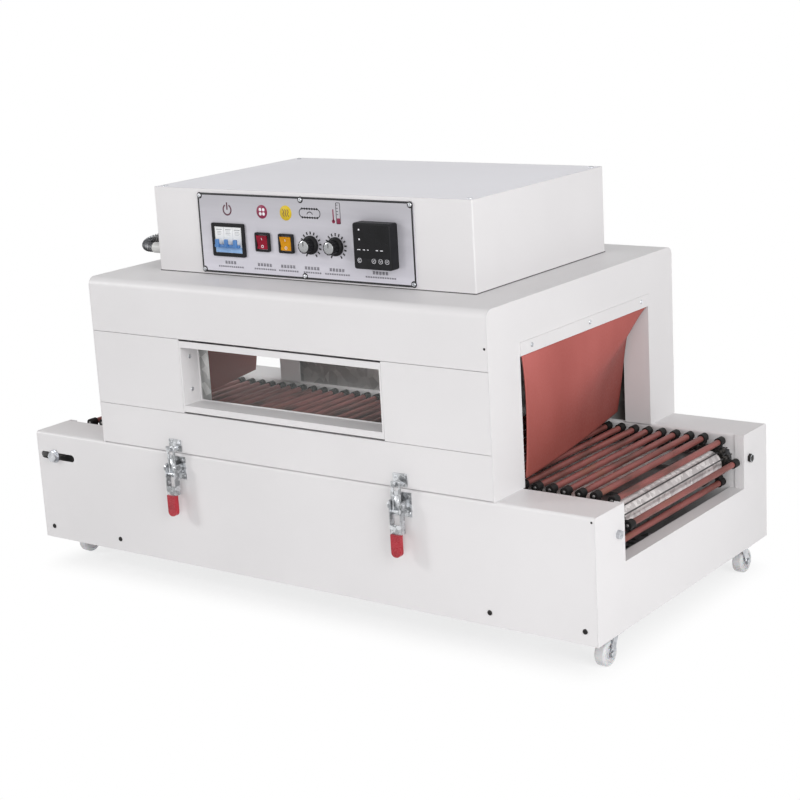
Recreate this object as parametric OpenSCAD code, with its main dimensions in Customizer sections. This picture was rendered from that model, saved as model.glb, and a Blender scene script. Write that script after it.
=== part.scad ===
// Heat shrink tunnel: a hood with a hot chamber over a chain-and-rod conveyor base on casters.
// Millimetres, +Z up, floor at z = 0, goods travel along +X, the control side faces -Y.

/* [Base] */
// length of the base along the conveyor
base_len = 1137; // [1117:1:1170]
// depth of the base and of the hood
base_dep = 564; // [552:1:620]
// height of the base box
base_h = 195; // [188:1:230]
// height of the base underside above the floor
caster_h = 50; // [48:1:60]
// thickness of the painted sheet
sheet = 1.5; // [1:0.1:2]
// outside radius of the folded ledge edges
edge_r = 5; // [3:0.5:10]
// width of the conveyor cut-out in the end plates
notch_w = 395; // [390:1:400]
// depth of the cut-out below the base top
notch_drop = 90; // [88:1:96]
// inward fold along the bottom of the cut-out
lip = 25; // [10:1:30]

/* [Conveyor] */
// chain pitch
pitch = 12.7; // [12.7:0.1:12.8]
// room from each end of the base to the conveyor shaft, to the nearest link
end_room = 41.5; // [38:0.5:60]
// height of the shaft axes below the base top
shaft_drop = 41.6; // [41:0.1:44]
// outside diameter of the rod sleeve
rod_d = 10; // [8:0.5:11]
// rod axis outside the chain's pitch line
rod_lift = 16.5; // [16:0.1:17]
// diameter of the black rod holder
cap_d = 14; // [12:0.5:15]
// distance of each chain from the middle of the machine
chain_y = 173; // [165:1:175]
// diameter of the bright tube on the end shafts
tube_d = 42; // [34:1:46]

/* [Hood] */
// length of the hood along the conveyor
hood_len = 800; // [760:1:860]
// height of the hood above the base
hood_h = 287; // [275:1:340]
// outside radius of the hood's folded top edges
bend_r = 14; // [8:1:30]
// width of the tunnel mouth
mouth_w = 394; // [388:1:396]
// height of the tunnel mouth
mouth_h = 202; // [195:1:215]
// depth of the folded jamb around the mouth
jamb = 48; // [30:1:60]
// height of the lower front seam above the base
seam_low = 71; // [55:1:80]
// height of the upper front seam above the base
seam_high = 196; // [180:1:210]
// open gap at each panel seam
seam_gap = 0.8; // [0.4:0.1:1]
// open gap between the base ledge and the lower hood panels
hood_gap = 1.5; // [0.5:0.1:2.5]
// outside width of the window frame
window_w = 411; // [340:1:450]
// front flange above and below the window
window_rim = 13; // [8:1:20]
// front flange left and right of the window
window_edge = 3.5; // [3:0.5:8]
// wider gap above and below the window frame
frame_gap = 1.4; // [0.2:0.1:2]
// depth of the window reveal
reveal = 42; // [30:1:50]
// thickness of the window glass
glass_t = 4; // [3:0.5:6]

/* [Curtains] */
// thickness of the silicone sheet
curtain_t = 2; // [1:0.1:3]
// height of the curtain from hem to lower edge
curtain_h = 187; // [175:1:190]
// how far the lower edge hangs back from the hem
curtain_in = 30; // [20:1:50]
// bow of the sheet away from a straight hang
curtain_bow = 12; // [8:1:40]
// clear gap at each side of the curtain
curtain_side = 5; // [5:0.5:10]
// height of the clamp strip
strip_h = 20; // [14:1:24]

/* [Control box] */
// length of the control box
box_len = 642; // [600:1:660]
// depth of the control box
box_dep = 386; // [340:1:400]
// height of the control box
box_h = 142; // [140:1:180]
// offset of the box to the rear
box_back = 6; // [0:1:20]
// width of the control panel plate
panel_w = 436; // [430:1:500]
// height of the control panel plate
panel_h = 132; // [128:1:136]
// thickness of the control panel plate
panel_t = 2; // [1.5:0.5:3]
// outside diameter of the conduit
conduit_d = 13; // [12:0.5:15]
// bend radius of the conduit
conduit_r = 22; // [20:1:30]

/* [Controls] */
// width of the breaker window frame
breaker_w = 70; // [66:1:80]
// height of the breaker window frame
breaker_h = 55; // [50:1:60]
// outside size of a rocker switch bezel
rocker_w = 30; // [26:1:36]
// skirt diameter of a knob
knob_d = 30; // [24:1:36]
// height of a knob above the panel
knob_h = 19; // [14:1:24]
// front size of the temperature controller
meter_w = 72; // [68:1:78]
// height of the controller above the panel
meter_h = 17; // [12:1:20]

/* [Latches] */
// distance of each latch from the middle of the front
latch_x = 231; // [215:1:260]
// height of the lever pivot below the base top
latch_drop = 23; // [20:1:28]
// distance of the lever pivot from the front face
latch_out = 13; // [12:0.5:16]
// crank from the lever pivot to the hook bolt
latch_crank = 11; // [9:0.5:12]
// diameter of the hook bolt
hook_d = 4; // [3:0.5:4.5]
// length of the red grip
grip_l = 36; // [30:1:45]
// width of the red grip
grip_w = 17; // [14:1:20]

/* [Casters] */
// wheel diameter
wheel_d = 40; // [36:1:42]
// wheel width
wheel_w = 18; // [14:1:20]
// trail of the wheel behind the swivel axis
trail = 14; // [10:1:18]
// distance of the swivel axes in from the ends of the base
caster_in_x = 20.5; // [20:0.5:60]
// distance of the swivel axes in from the front and rear of the base
caster_in_y = 68; // [40:1:90]

/* [Hidden] */
$fn = 64;
fit = 0.2;
run = 0.3;
// moves the whole machine so that latches and rear bolts stand equally far from y = 0
grip_out = latch_out + 10;
washer_d = 24;
washer_t = 1.6;
head_h = 7;
mid_y = (grip_out - washer_t - head_h - 0.1) / 2;
z0 = caster_h;
z1 = caster_h + base_h;
z2 = z1 + hood_h;
front = -base_dep / 2;
wall_y = notch_w / 2 + sheet + fit;
end_in = base_len / 2 - sheet - fit;
hood_in = hood_len / 2 - sheet - fit;
// chain and shafts
teeth = 10;
span_links = floor((base_len - 2 * end_room) / pitch + 0.5);
shaft_x = span_links * pitch / 2;
shaft_z = z1 - shaft_drop;
pitch_r = pitch / (2 * sin(180 / teeth));
wrap = teeth / 2;
links = 2 * span_links + teeth;
roller_d = 8.5;
plate_r = 5.4;
inner_y = 4;
plate_t = 1.6;
chain_half = inner_y + 2 * plate_t;
cap_half = chain_half;
rod_half = chain_y - cap_half - run;
tooth_r = pitch_r + 3;
// where the first roller past the sprocket lies, from the shaft and from its seat's line
free_r = norm([pitch, pitch_r]);
free_side = free_r * sin(360 / teeth - atan2(pitch, pitch_r));
journal_d = 20;
axle_d = 12;
bearing_r = 19;
bearing_t = 11;
// mouth and curtains
mouth_top = z1 + mouth_h;
hem_r = 1.4;
hem_x = hood_len / 2 - sheet / 2;
hem_z = mouth_top - run - hem_r;
chord = sqrt(pow(curtain_h, 2) + pow(curtain_in, 2));
bow_r = pow(chord, 2) / (8 * curtain_bow) + curtain_bow / 2;
// window and hood panels
panel_fold = 30;
sill_z = z1 + seam_low + seam_gap / 2;
head_z = z1 + seam_high - seam_gap / 2;
window_h = head_z - sill_z;
liner_y = mouth_w / 2 + sheet + 6;
liner_t = 1;
liner_top = mouth_top + sheet + 10;
// control box
box_front = box_back - box_dep / 2;
panel_x = -4;
panel_z = z2 + 70;
face = box_front - panel_t - fit;
breaker_x = panel_x - 155;
red_x = panel_x - 82;
amber_x = panel_x - 33;
speed_x = panel_x + 16;
heat_x = panel_x + 66;
meter_x = panel_x + 151;
control_z = z2 + 60;
lever_rest = 12;
lever_z = control_z - 7;
rocker_r = 1.3;
// latches
pivot_y = front - latch_out;
pivot_z = z1 - latch_drop;
crank_z = pivot_z - latch_crank;
hook_z = z1 + 12.8;
leg_x = 6.5;
lever_in = 9;
lever_t = 1.5;
lever_r = 7;
rivet_d = 5;
grip_drop = 41;
grip_z = pivot_z - grip_drop;
// casters
plate_z = z0 - 2.5;
caster_x = base_len / 2 - caster_in_x;
caster_y = base_dep / 2 - caster_in_y;
fork_in = wheel_w / 2 + 1.2;
fork_t = 1.8;
crown_z = wheel_d + 3.6;

// a profile drawn in Y and Z, pushed along X about the middle
module along_x(length) {
  rotate([90, 0, 90])
    linear_extrude(length, center = true)
      children();
}

// a profile drawn in X and Z, pushed along Y about the middle
module along_y(length) {
  rotate([90, 0, 0])
    linear_extrude(length, center = true)
      children();
}

// a cylinder that lies along X, centred
module rod_x(d, length) {
  rotate([0, 90, 0])
    cylinder(d = d, h = length, center = true);
}

// a cylinder that lies along Y, centred
module rod_y(d, length) {
  rotate([90, 0, 0])
    cylinder(d = d, h = length, center = true);
}

// a rectangle from the origin with its two upper corners rounded
module round_top(w, h, r) {
  square([w, h - r]);
  translate([r, 0])
    square([w - 2 * r, h]);
  translate([r, h - r])
    circle(r);
  translate([w - r, h - r])
    circle(r);
}

// a rectangle about the origin with four rounded corners
module round_rect(w, h, r) {
  square([w - 2 * r, h], center = true);
  square([w, h - 2 * r], center = true);
  for (i = [-1, 1], j = [-1, 1])
    translate([i * (w / 2 - r), j * (h / 2 - r)])
      circle(r);
}

// a slot with round ends about the origin
module slot(w, h) {
  square([w - h, h], center = true);
  for (i = [-1, 1])
    translate([i * (w - h) / 2, 0])
      circle(d = h);
}

// Base

// one long side of the base: outer face, folded ledge, inner wall and bottom flange in one sheet
module side_panel() {
  w = -front - wall_y;
  difference() {
    along_x(2 * end_in) {
      translate([front, z0])
        difference() {
          round_top(w, base_h, edge_r);
          translate([sheet, -1])
            round_top(w - 2 * sheet, base_h - sheet + 1, edge_r - sheet);
          translate([w - 2 * sheet, -1])
            square([3 * sheet, sheet + fit + 1]);
        }
      translate([front, z0])
        square([25, sheet]);
    }
    // take-up slot through the face and the inner wall at the entry end
    translate([-shaft_x + 7, front, shaft_z])
      along_y(3 * sheet)
        slot(82, axle_d + 1);
    translate([-shaft_x, -wall_y, shaft_z])
      along_y(4 * sheet)
        slot(30, axle_d + 1);
    // shaft hole at the exit end
    translate([shaft_x, -wall_y, shaft_z])
      rod_y(axle_d + 1, 4 * sheet);
  }
}

module base_front_panel() {
  color("WhiteSmoke")
    translate([0, mid_y, 0])
      side_panel();
}

module base_rear_panel() {
  color("WhiteSmoke")
    translate([0, mid_y, 0])
      mirror([0, 1, 0])
        side_panel();
}

// an end plate with its cut-out folded inwards along three sides
module end_plate() {
  notch_z = z1 - notch_drop;
  x = base_len / 2;
  translate([x - sheet / 2, 0, 0])
    along_x(sheet)
      difference() {
        translate([front, z0])
          round_top(base_dep, base_h, edge_r);
        translate([-notch_w / 2, notch_z])
          square([notch_w, notch_drop + 1]);
        for (s = [-1, 1])
          translate([s * (notch_w / 2 + 20), shaft_z - 1])
            circle(d = 9);
      }
  translate([x - lip, -notch_w / 2 - sheet, notch_z - sheet])
    cube([lip, notch_w + 2 * sheet, sheet]);
  for (s = [-1, 1])
    translate([x - 16, s * (notch_w + sheet) / 2 - sheet / 2, notch_z - sheet])
      cube([16, sheet, notch_drop + sheet]);
}

module base_end_plates() {
  color("WhiteSmoke")
    translate([0, mid_y, 0]) {
      end_plate();
      mirror([1, 0, 0])
        end_plate();
    }
}

module base_pan() {
  color("Gainsboro")
    translate([0, mid_y, 0])
      translate([-end_in, front + 25 + fit, z0])
        cube([2 * end_in, base_dep - 2 * (25 + fit), sheet]);
}

// Conveyor

// pin centres of the chain loop in X and Z about the shaft height
function arc_point(x, a) = [x + pitch_r * cos(a), pitch_r * sin(a)];
function pin(i) =
  i <= span_links ? [shaft_x - i * pitch, pitch_r] :
  i <= span_links + wrap ? arc_point(-shaft_x, 90 + (i - span_links) * 360 / teeth) :
  i <= 2 * span_links + wrap ? [-shaft_x + (i - span_links - wrap) * pitch, -pitch_r] :
  arc_point(shaft_x, -90 + (i - 2 * span_links - wrap) * 360 / teeth);
function link_a(i) = pin(i);
function link_b(i) = pin((i + 1) % links);
function link_turn(i) = atan2((link_b(i) - link_a(i))[1], (link_b(i) - link_a(i))[0]);

// puts what follows at the middle of link i, its +Y pointing out of the loop
module at_link(i) {
  translate((link_a(i) + link_b(i)) / 2)
    rotate(link_turn(i) + 180)
      children();
}

// a waisted link plate
module link_plate(r) {
  for (s = [-1, 1])
    translate([s * pitch / 2, 0])
      circle(r, $fn = 40);
  square([pitch, 1.4 * r], center = true);
}

// roller chain: rollers, inner plates on the even links, outer plates on the odd ones
module chain_loop() {
  translate([0, 0, shaft_z]) {
    along_y(2 * inner_y)
      for (i = [0:links - 1])
        translate(pin(i))
          circle(d = roller_d, $fn = 32);
    for (s = [-1, 1], k = [0, 1])
      translate([0, s * (inner_y + (k + 0.5) * plate_t), 0])
        along_y(plate_t)
          for (i = [k:2:links - 1])
            at_link(i)
              link_plate(plate_r - 0.5 * (1 - k));
  }
}

module front_chain() {
  color("DimGray")
    translate([0, mid_y, 0])
      translate([0, -chain_y, 0])
        chain_loop();
}

module rear_chain() {
  color("DimGray")
    translate([0, mid_y, 0])
      translate([0, chain_y, 0])
        chain_loop();
}

// black end pieces that carry the rods on the outer links
module rod_holders() {
  foot = plate_r + fit;
  color("Black")
    translate([0, mid_y, 0])
      for (j = [-1, 1])
        translate([0, j * chain_y, shaft_z])
          along_y(2 * cap_half)
            for (i = [1:2:links - 1])
              at_link(i) {
                translate([0, rod_lift])
                  circle(d = cap_d, $fn = 40);
                translate([-4, foot])
                  square([8, rod_lift - foot]);
              }
}

module conveyor_rods() {
  color("IndianRed")
    translate([0, mid_y, 0])
      translate([0, 0, shaft_z])
        along_y(2 * rod_half)
          for (i = [1:2:links - 1])
            at_link(i)
              translate([0, rod_lift])
                circle(d = rod_d, $fn = 40);
}

// a sprocket with a round seat for every roller, open enough to let it leave
module sprocket() {
  along_y(2 * inner_y - 1)
    difference() {
      circle(tooth_r);
      for (i = [0:teeth - 1])
        rotate(i * 360 / teeth + 90)
          translate([pitch_r, 0])
            circle(d = roller_d + 2 * run);
      for (i = [0:teeth - 1])
        rotate(i * 360 / teeth + 90)
          translate([free_r, 0])
            circle(d = roller_d + 2 * (run + free_side));
      circle(d = journal_d + 2 * fit);
    }
  difference() {
    rod_y(2 * pitch_r - roller_d - 8, 4 * inner_y);
    rod_y(journal_d + 2 * fit, 5 * inner_y);
  }
}

module sprockets() {
  color("SlateGray")
    translate([0, mid_y, 0])
      for (i = [-1, 1], j = [-1, 1])
        translate([i * shaft_x, j * chain_y, shaft_z])
          sprocket();
}

// a shaft with the bright tube between its sprockets and thinner ends in the bearings
module end_shaft(reach) {
  rod_y(tube_d, 2 * (chain_y - 2 * inner_y - 6));
  rod_y(journal_d, 2 * (chain_y + 2 * inner_y + 1));
  rod_y(axle_d, 2 * reach);
}

module end_shafts() {
  color("Silver")
    translate([0, mid_y, 0]) {
      translate([shaft_x, 0, shaft_z])
        end_shaft(wall_y + sheet + 3);
      translate([-shaft_x, 0, shaft_z])
        end_shaft(-front + sheet);
    }
}

module bearing() {
  along_y(bearing_t)
    difference() {
      union() {
        circle(bearing_r);
        square([1.6 * bearing_r, 1.6 * bearing_r], center = true);
      }
      circle(d = axle_d + 2 * fit);
    }
}

module shaft_bearings() {
  color("DarkSlateGray")
    translate([0, mid_y, 0])
      for (i = [-1, 1], j = [-1, 1])
        translate([i * shaft_x, j * (wall_y - fit - bearing_t / 2), shaft_z])
          bearing();
}

// washer and hexagon head on each take-up axle, and the tension screws in the end plates
module take_up_bolts() {
  color("Silver")
    translate([0, mid_y, 0])
      for (j = [-1, 1]) {
        translate([-shaft_x, j * (-front + 0.1), shaft_z])
          rotate([-90 * j, 0, 0]) {
            difference() {
              cylinder(d = washer_d, h = washer_t);
              translate([0, 0, -1])
                cylinder(d = axle_d + 2 * fit, h = 2.2 + sheet);
            }
            translate([0, 0, washer_t])
              cylinder(d = 19, h = head_h, $fn = 6);
          }
        for (i = [-1, 1])
          translate([i * base_len / 2, j * (notch_w / 2 + 20), shaft_z - 1])
            rotate([0, 90 * i, 0]) {
              translate([0, 0, -14])
                cylinder(d = 8, h = 14.1);
              translate([0, 0, 0.1])
                cylinder(d = 14, h = 5.5, $fn = 6);
            }
      }
}

// wear strip for the rollers, with a web to the inner wall that also carries the tray
module chain_rail() {
  web_z = shaft_z + pitch_r - plate_r - 3.6;
  strip_z = shaft_z + pitch_r - roller_d / 2 - run;
  wall_in = wall_y - fit;
  rail_len = 2 * (shaft_x - tooth_r - 5);
  along_x(rail_len) {
    translate([-wall_in, web_z - 2])
      square([wall_in - 150, 2]);
    translate([-wall_in, web_z - 2])
      square([2, 15]);
    translate([-chain_y - inner_y + 0.5, web_z - 1])
      square([2 * inner_y - 1, strip_z - web_z + 1]);
  }
}

module chain_rails() {
  color("LightGray")
    translate([0, mid_y, 0]) {
      chain_rail();
      mirror([0, 1, 0])
        chain_rail();
    }
}

// bright tray under the upper rods, with two raised ribs along it
module reflector_tray() {
  tray_z = shaft_z + pitch_r - plate_r - 3.6 + fit;
  half = chain_y - inner_y - 8;
  color("Silver")
    translate([0, mid_y, 0])
      along_x(2 * (shaft_x - tube_d / 2 - 4)) {
        difference() {
          union() {
            translate([-half, tray_z])
              square([2 * half, 1.2]);
            for (s = [-1, 1])
              translate([s * half / 2 - 16, tray_z])
                square([32, 7]);
          }
          for (s = [-1, 1])
            translate([s * half / 2 - 14.8, tray_z - 1])
              square([29.6, 6.8]);
        }
      }
}

// Hood

// the bent cover: top sheet folded down over the front and the rear to the upper seam
module hood_cover() {
  drop = hood_h - seam_high - seam_gap / 2;
  color("WhiteSmoke")
    translate([0, mid_y, 0])
      along_x(2 * hood_in)
        translate([front, z2 - drop])
          difference() {
            round_top(base_dep, drop, bend_r);
            translate([sheet, -1])
              round_top(base_dep - 2 * sheet, drop - sheet + 1, bend_r - sheet);
          }
}

// a flat panel in the front plane with folded upper and lower edges
module flat_panel(length, low, high, fold) {
  along_x(length) {
    translate([front, low])
      square([sheet, high - low]);
    translate([front, low])
      square([fold, sheet]);
    translate([front, high - sheet])
      square([fold, sheet]);
  }
}

module hood_front_lower_panel() {
  color("WhiteSmoke")
    translate([0, mid_y, 0])
      flat_panel(2 * hood_in, z1 + hood_gap, z1 + seam_low - seam_gap / 2, panel_fold);
}

module hood_front_side_panels() {
  inner = window_w / 2 + fit;
  length = hood_in - inner;
  color("WhiteSmoke")
    translate([0, mid_y, 0])
      for (s = [-1, 1])
        translate([s * (inner + length / 2), 0, 0])
          flat_panel(length, sill_z, head_z, panel_fold);
}

module hood_rear_panels() {
  color("WhiteSmoke")
    translate([0, mid_y, 0])
      mirror([0, 1, 0]) {
        flat_panel(2 * hood_in, z1 + hood_gap, z1 + seam_low - seam_gap / 2, panel_fold);
        flat_panel(2 * hood_in, sill_z, head_z, panel_fold);
      }
}

// deep window surround: front flange, reveal walls and a turned-in rear lip
module window_frame() {
  mid_z = (sill_z + head_z) / 2;
  open_w = window_w - 2 * window_edge;
  open_h = window_h - 2 * window_rim;
  color("WhiteSmoke")
    translate([0, mid_y, 0])
      translate([0, front, mid_z]) {
        translate([0, sheet / 2, 0])
          along_y(sheet)
            difference() {
              square([window_w, window_h - 2 * frame_gap], center = true);
              square([open_w, open_h], center = true);
            }
        translate([0, reveal / 2, 0])
          along_y(reveal)
            difference() {
              square([open_w + 2 * sheet, open_h + 2 * sheet], center = true);
              square([open_w, open_h], center = true);
            }
        translate([0, reveal - sheet / 2, 0])
          along_y(sheet)
            difference() {
              square([open_w + 2 * sheet, open_h + 2 * sheet], center = true);
              round_rect(open_w - 14, open_h - 12, 4);
            }
      }
}

module window_glass() {
  mid_z = (sill_z + head_z) / 2;
  color("LightCyan", 0.4)
    translate([0, mid_y, 0])
      translate([0, front + reveal + fit + glass_t / 2, mid_z])
        along_y(glass_t)
          square([window_w - 2 * window_edge, window_h - 2 * window_rim], center = true);
}

// an end wall of the hood with the mouth cut out and a deep jamb folded inwards
module end_frame() {
  x = hood_len / 2;
  translate([x - sheet / 2, 0, 0])
    along_x(sheet)
      difference() {
        translate([front, z1])
          round_top(base_dep, hood_h, bend_r);
        translate([-mouth_w / 2, z1 - 1])
          square([mouth_w, mouth_h + 1]);
      }
  translate([x - jamb, -mouth_w / 2 - sheet, mouth_top])
    cube([jamb, mouth_w + 2 * sheet, sheet]);
  for (s = [-1, 1])
    translate([x - jamb, s * (mouth_w + sheet) / 2 - sheet / 2, z1])
      cube([jamb, sheet, mouth_h + sheet]);
}

module hood_end_frames() {
  color("WhiteSmoke")
    translate([0, mid_y, 0]) {
      end_frame();
      mirror([1, 0, 0])
        end_frame();
    }
}

// bright inner sheet of the hot chamber, standing on the ledges, open to the window
module chamber_lining() {
  mid_z = (sill_z + head_z) / 2;
  length = hood_len - 2 * (sheet + fit);
  foot = -front - liner_y - 34;
  color("Silver")
    translate([0, mid_y, 0])
      difference() {
        along_x(length)
          difference() {
            union() {
              translate([-liner_y - liner_t, z1])
                square([2 * (liner_y + liner_t), liner_top + liner_t - z1]);
              translate([-liner_y - foot, z1])
                square([2 * (liner_y + foot), liner_t]);
            }
            translate([-liner_y, z1 - 1])
              square([2 * liner_y, liner_top - z1 + 1]);
          }
        translate([0, -liner_y, mid_z])
          along_y(6)
            square([window_w - 2 * window_edge, window_h - 2 * window_rim], center = true);
      }
}

// Curtains

module curtain_strips() {
  color("WhiteSmoke")
    translate([0, mid_y, 0])
      for (s = [-1, 1])
        translate([s * (hood_len / 2 + 0.8), 0, mouth_top + strip_h / 2])
          cube([1.5, mouth_w, strip_h], center = true);
}

// a sheet bowed against the travel, with a round hem under the clamp strip
module curtain(x) {
  turn = atan2(curtain_in, curtain_h);
  width = mouth_w - 2 * curtain_side;
  half_a = asin(chord / (2 * bow_r));
  translate([x, 0, hem_z]) {
    along_y(width)
      rotate(-turn)
        translate([bow_r - curtain_bow, -chord / 2])
          intersection() {
            difference() {
              circle(bow_r + curtain_t / 2, $fn = 128);
              circle(bow_r - curtain_t / 2, $fn = 128);
            }
            polygon([[0, 0], 2 * bow_r * [-cos(half_a), sin(half_a)], [-2 * bow_r, 0],
              2 * bow_r * [-cos(half_a), -sin(half_a)]]);
          }
    rod_y(2 * hem_r, width);
  }
}

module exit_curtain() {
  color("Sienna")
    translate([0, mid_y, 0])
      curtain(hem_x);
}

module entry_curtain() {
  color("Sienna")
    translate([0, mid_y, 0])
      curtain(-hem_x);
}

// Control box

// four folded walls with a turned-in rim that carries the lid
module control_box() {
  rim = 14;
  color("WhiteSmoke")
    translate([0, mid_y, 0])
      translate([0, box_back, z2]) {
        linear_extrude(box_h)
          difference() {
            round_rect(box_len, box_dep, 2.5);
            square([box_len - 2 * sheet, box_dep - 2 * sheet], center = true);
          }
        translate([0, 0, box_h - 2 * sheet - fit])
          linear_extrude(sheet)
            difference() {
              square([box_len - sheet, box_dep - sheet], center = true);
              square([box_len - 2 * rim, box_dep - 2 * rim], center = true);
            }
      }
}

module control_box_lid() {
  color("LightGray")
    translate([0, mid_y, 0])
      translate([0, box_back, z2 + box_h - sheet])
        linear_extrude(sheet)
          round_rect(box_len - 2 * sheet - 2, box_dep - 2 * sheet - 2, 3);
}

module control_panel() {
  color("Lavender")
    translate([0, mid_y, 0])
      translate([panel_x, box_front - fit - panel_t / 2, panel_z])
        along_y(panel_t)
          round_rect(panel_w, panel_h, 3);
}

module breaker_frame() {
  color("Black")
    translate([0, mid_y, 0])
      translate([breaker_x, face - 1.5, control_z])
        along_y(3)
          difference() {
            round_rect(breaker_w, breaker_h, 3);
            square([breaker_w - 12, breaker_h - 12], center = true);
          }
}

// three breaker poles side by side, each with a slot for its toggle
module breaker_body() {
  w = breaker_w - 12 - 2 * fit;
  h = breaker_h - 12 - 2 * fit;
  color("White")
    translate([0, mid_y, 0])
      translate([breaker_x, face, control_z])
        difference() {
          translate([-w / 2, -2, -h / 2])
            cube([w, 2, h]);
          for (i = [-1, 1])
            translate([i * w / 6 - 0.4, -2.5, -h / 2 - 1])
              cube([0.8, 1.5, h + 2]);
        }
}

// three toggles on one round tie bar, which turns about its own axis
module breaker_lever() {
  w = breaker_w - 12;
  color("RoyalBlue")
    translate([0, mid_y, 0])
      translate([breaker_x, face - 2 - run - 3, lever_z])
        rotate([lever_rest, 0, 0]) {
          rod_x(6, w - 6);
          for (i = [-1:1])
            translate([i * w / 3 - w / 6 + 2, -5, -5])
              cube([w / 3 - 4, 5, 10]);
        }
}

module switch_bezels() {
  color("Black")
    translate([0, mid_y, 0])
      for (x = [red_x, amber_x])
        translate([x, face - 2, control_z])
          along_y(4)
            difference() {
              round_rect(rocker_w, rocker_w + 1, 2.5);
              square([rocker_w - 8, rocker_w - 5], center = true);
            }
}

// a rocker on a thin pin: a shallow V front, the upper back cut away so that it can turn in
module rocker(x) {
  half = (rocker_w - 8) / 2;
  width = rocker_w - 8 - 2 * run;
  translate([x, face - run - rocker_r, control_z])
    along_x(width) {
      polygon([[0.9, -half], [-2.2, -half], [-1.2, -half * 0.45], [-1.9, 0], [-4.3, half],
        [-0.075 * half, half], [0.9, 0]]);
      circle(rocker_r);
    }
}

module red_rocker() {
  color("Crimson")
    translate([0, mid_y, 0])
      rocker(red_x);
}

module amber_rocker() {
  color("Orange")
    translate([0, mid_y, 0])
      rocker(amber_x);
}

// a knob with a skirt, a fluted grip and a pointer nib
module knob(x) {
  translate([x, face - fit, control_z])
    rotate([90, 0, 0]) {
      cylinder(d = knob_d, h = 3);
      translate([0, 0, 3])
        cylinder(d1 = knob_d - 2, d2 = knob_d - 8, h = 2);
      linear_extrude(knob_h)
        difference() {
          circle(d = knob_d - 8);
          for (i = [1:11])
            rotate(i * 30 + 90)
              translate([knob_d / 2 - 3.4, 0])
                circle(1.4);
        }
      translate([-0.8, 0, 0])
        cube([1.6, knob_d / 2 - 3.4, knob_h]);
    }
}

module speed_knob() {
  color("Black")
    translate([0, mid_y, 0])
      knob(speed_x);
}

module heat_knob() {
  color("Black")
    translate([0, mid_y, 0])
      knob(heat_x);
}

// panel meter with a sunk display and a row of round keys
module temperature_controller() {
  color("Black")
    translate([0, mid_y, 0])
      translate([meter_x, face - fit, control_z + 7]) {
        difference() {
          translate([0, -meter_h / 2, 0])
            along_y(meter_h)
              round_rect(meter_w, meter_w, 4);
          translate([0, -meter_h, 0.1 * meter_w])
            along_y(2)
              round_rect(meter_w - 12, 0.6 * meter_w, 2);
        }
        for (i = [-1.5:1.5])
          translate([i * meter_w / 5, -meter_h - 0.5, -0.36 * meter_w])
            rod_y(0.12 * meter_w, 2);
      }
}

// flexible metal conduit: a loop out of the side wall of the box, with a gland at each end
module conduit() {
  gland = 28;
  leg = 38;
  rise = 14;
  color("Gray")
    translate([0, mid_y, 0])
      translate([-box_len / 2 - fit, box_front + 20, z2 + 34])
        rotate([rise, 0, 0]) {
          translate([-leg, conduit_r, 0])
            rotate([0, 0, 90])
              rotate_extrude(angle = 180)
                translate([conduit_r, 0])
                  circle(d = conduit_d);
          for (y = [0, 2 * conduit_r])
            translate([0, y, 0])
              rotate([0, -90, 0]) {
                cylinder(d = conduit_d, h = leg);
                cylinder(d = conduit_d + 9, h = 6, $fn = 6);
                cylinder(d = conduit_d + 5, h = gland);
              }
        }
}

// Toggle latches, drawn about x = 0

// fixed plates of one latch: an eared bracket on the base, a hooked keeper on the hood
module latch_fixed() {
  ear_in = lever_in + lever_t + 0.6;
  // bracket plate and its two ears
  translate([-19, front - 2, pivot_z - 20])
    cube([38, 2, 38]);
  for (s = [-1, 1]) {
    translate([s * (ear_in + 1), 0, 0])
      along_x(2) {
        translate([pivot_y, pivot_z])
          circle(lever_r);
        translate([pivot_y, pivot_z - lever_r])
          square([latch_out - 1, 2 * lever_r]);
      }
    // stub rivets that the lever turns on
    translate([s * (lever_in + 2.6), pivot_y, pivot_z])
      rod_x(rivet_d, 5.2);
  }
  // keeper plate and upturned hook
  translate([-13, front - 2, z1 + 4])
    cube([26, 2, 20]);
  along_x(2 * (leg_x - hook_d / 2 - 0.8)) {
    translate([pivot_y - 7.5, hook_z - hook_d / 2 - run - 3])
      square([latch_out + 7.5 - 1, 3]);
    translate([pivot_y - 7.5, hook_z - hook_d / 2 - run - 3])
      square([2.5, 9]);
  }
}

module latch_plates() {
  color("Silver")
    translate([0, mid_y, 0])
      for (s = [-1, 1])
        translate([s * latch_x, 0, 0])
          latch_fixed();
}

// pressed channel lever with a hole for each rivet and each crank pin
module latch_lever() {
  web_top = crank_z - 19;
  web_out = pivot_y - 7;
  difference() {
    union() {
      for (s = [-1, 1])
        translate([s * (lever_in + lever_t / 2), 0, 0])
          along_x(lever_t) {
            translate([pivot_y, pivot_z])
              circle(lever_r);
            translate([web_out, grip_z - 4])
              square([11, pivot_z - grip_z + 4]);
          }
      translate([-lever_in - lever_t, web_out, grip_z - 4])
        cube([2 * (lever_in + lever_t), lever_t, web_top - grip_z + 4]);
      // tang inside the grip
      translate([-grip_w / 2 + 3, web_out, grip_z - grip_l + 6])
        cube([grip_w - 6, 3, grip_l]);
    }
    translate([0, pivot_y, pivot_z])
      rod_x(rivet_d + 2 * fit, 4 * lever_in);
    translate([0, pivot_y, crank_z])
      rod_x(rivet_d + 2 * fit, 4 * lever_in);
  }
}

// soft red grip pushed over the tang
module latch_grip() {
  y = pivot_y - 7;
  difference() {
    translate([0, y + 1.5, grip_z - 4 - fit])
      rotate([180, 0, 0])
        along_y(9)
          round_top_mid(grip_w, grip_l, grip_w / 2 - 1);
    translate([-grip_w / 2 + 3 - fit, y - fit, grip_z - grip_l + 6 - fit])
      cube([grip_w - 6 + 2 * fit, 3 + 2 * fit, grip_l]);
  }
}

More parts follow.
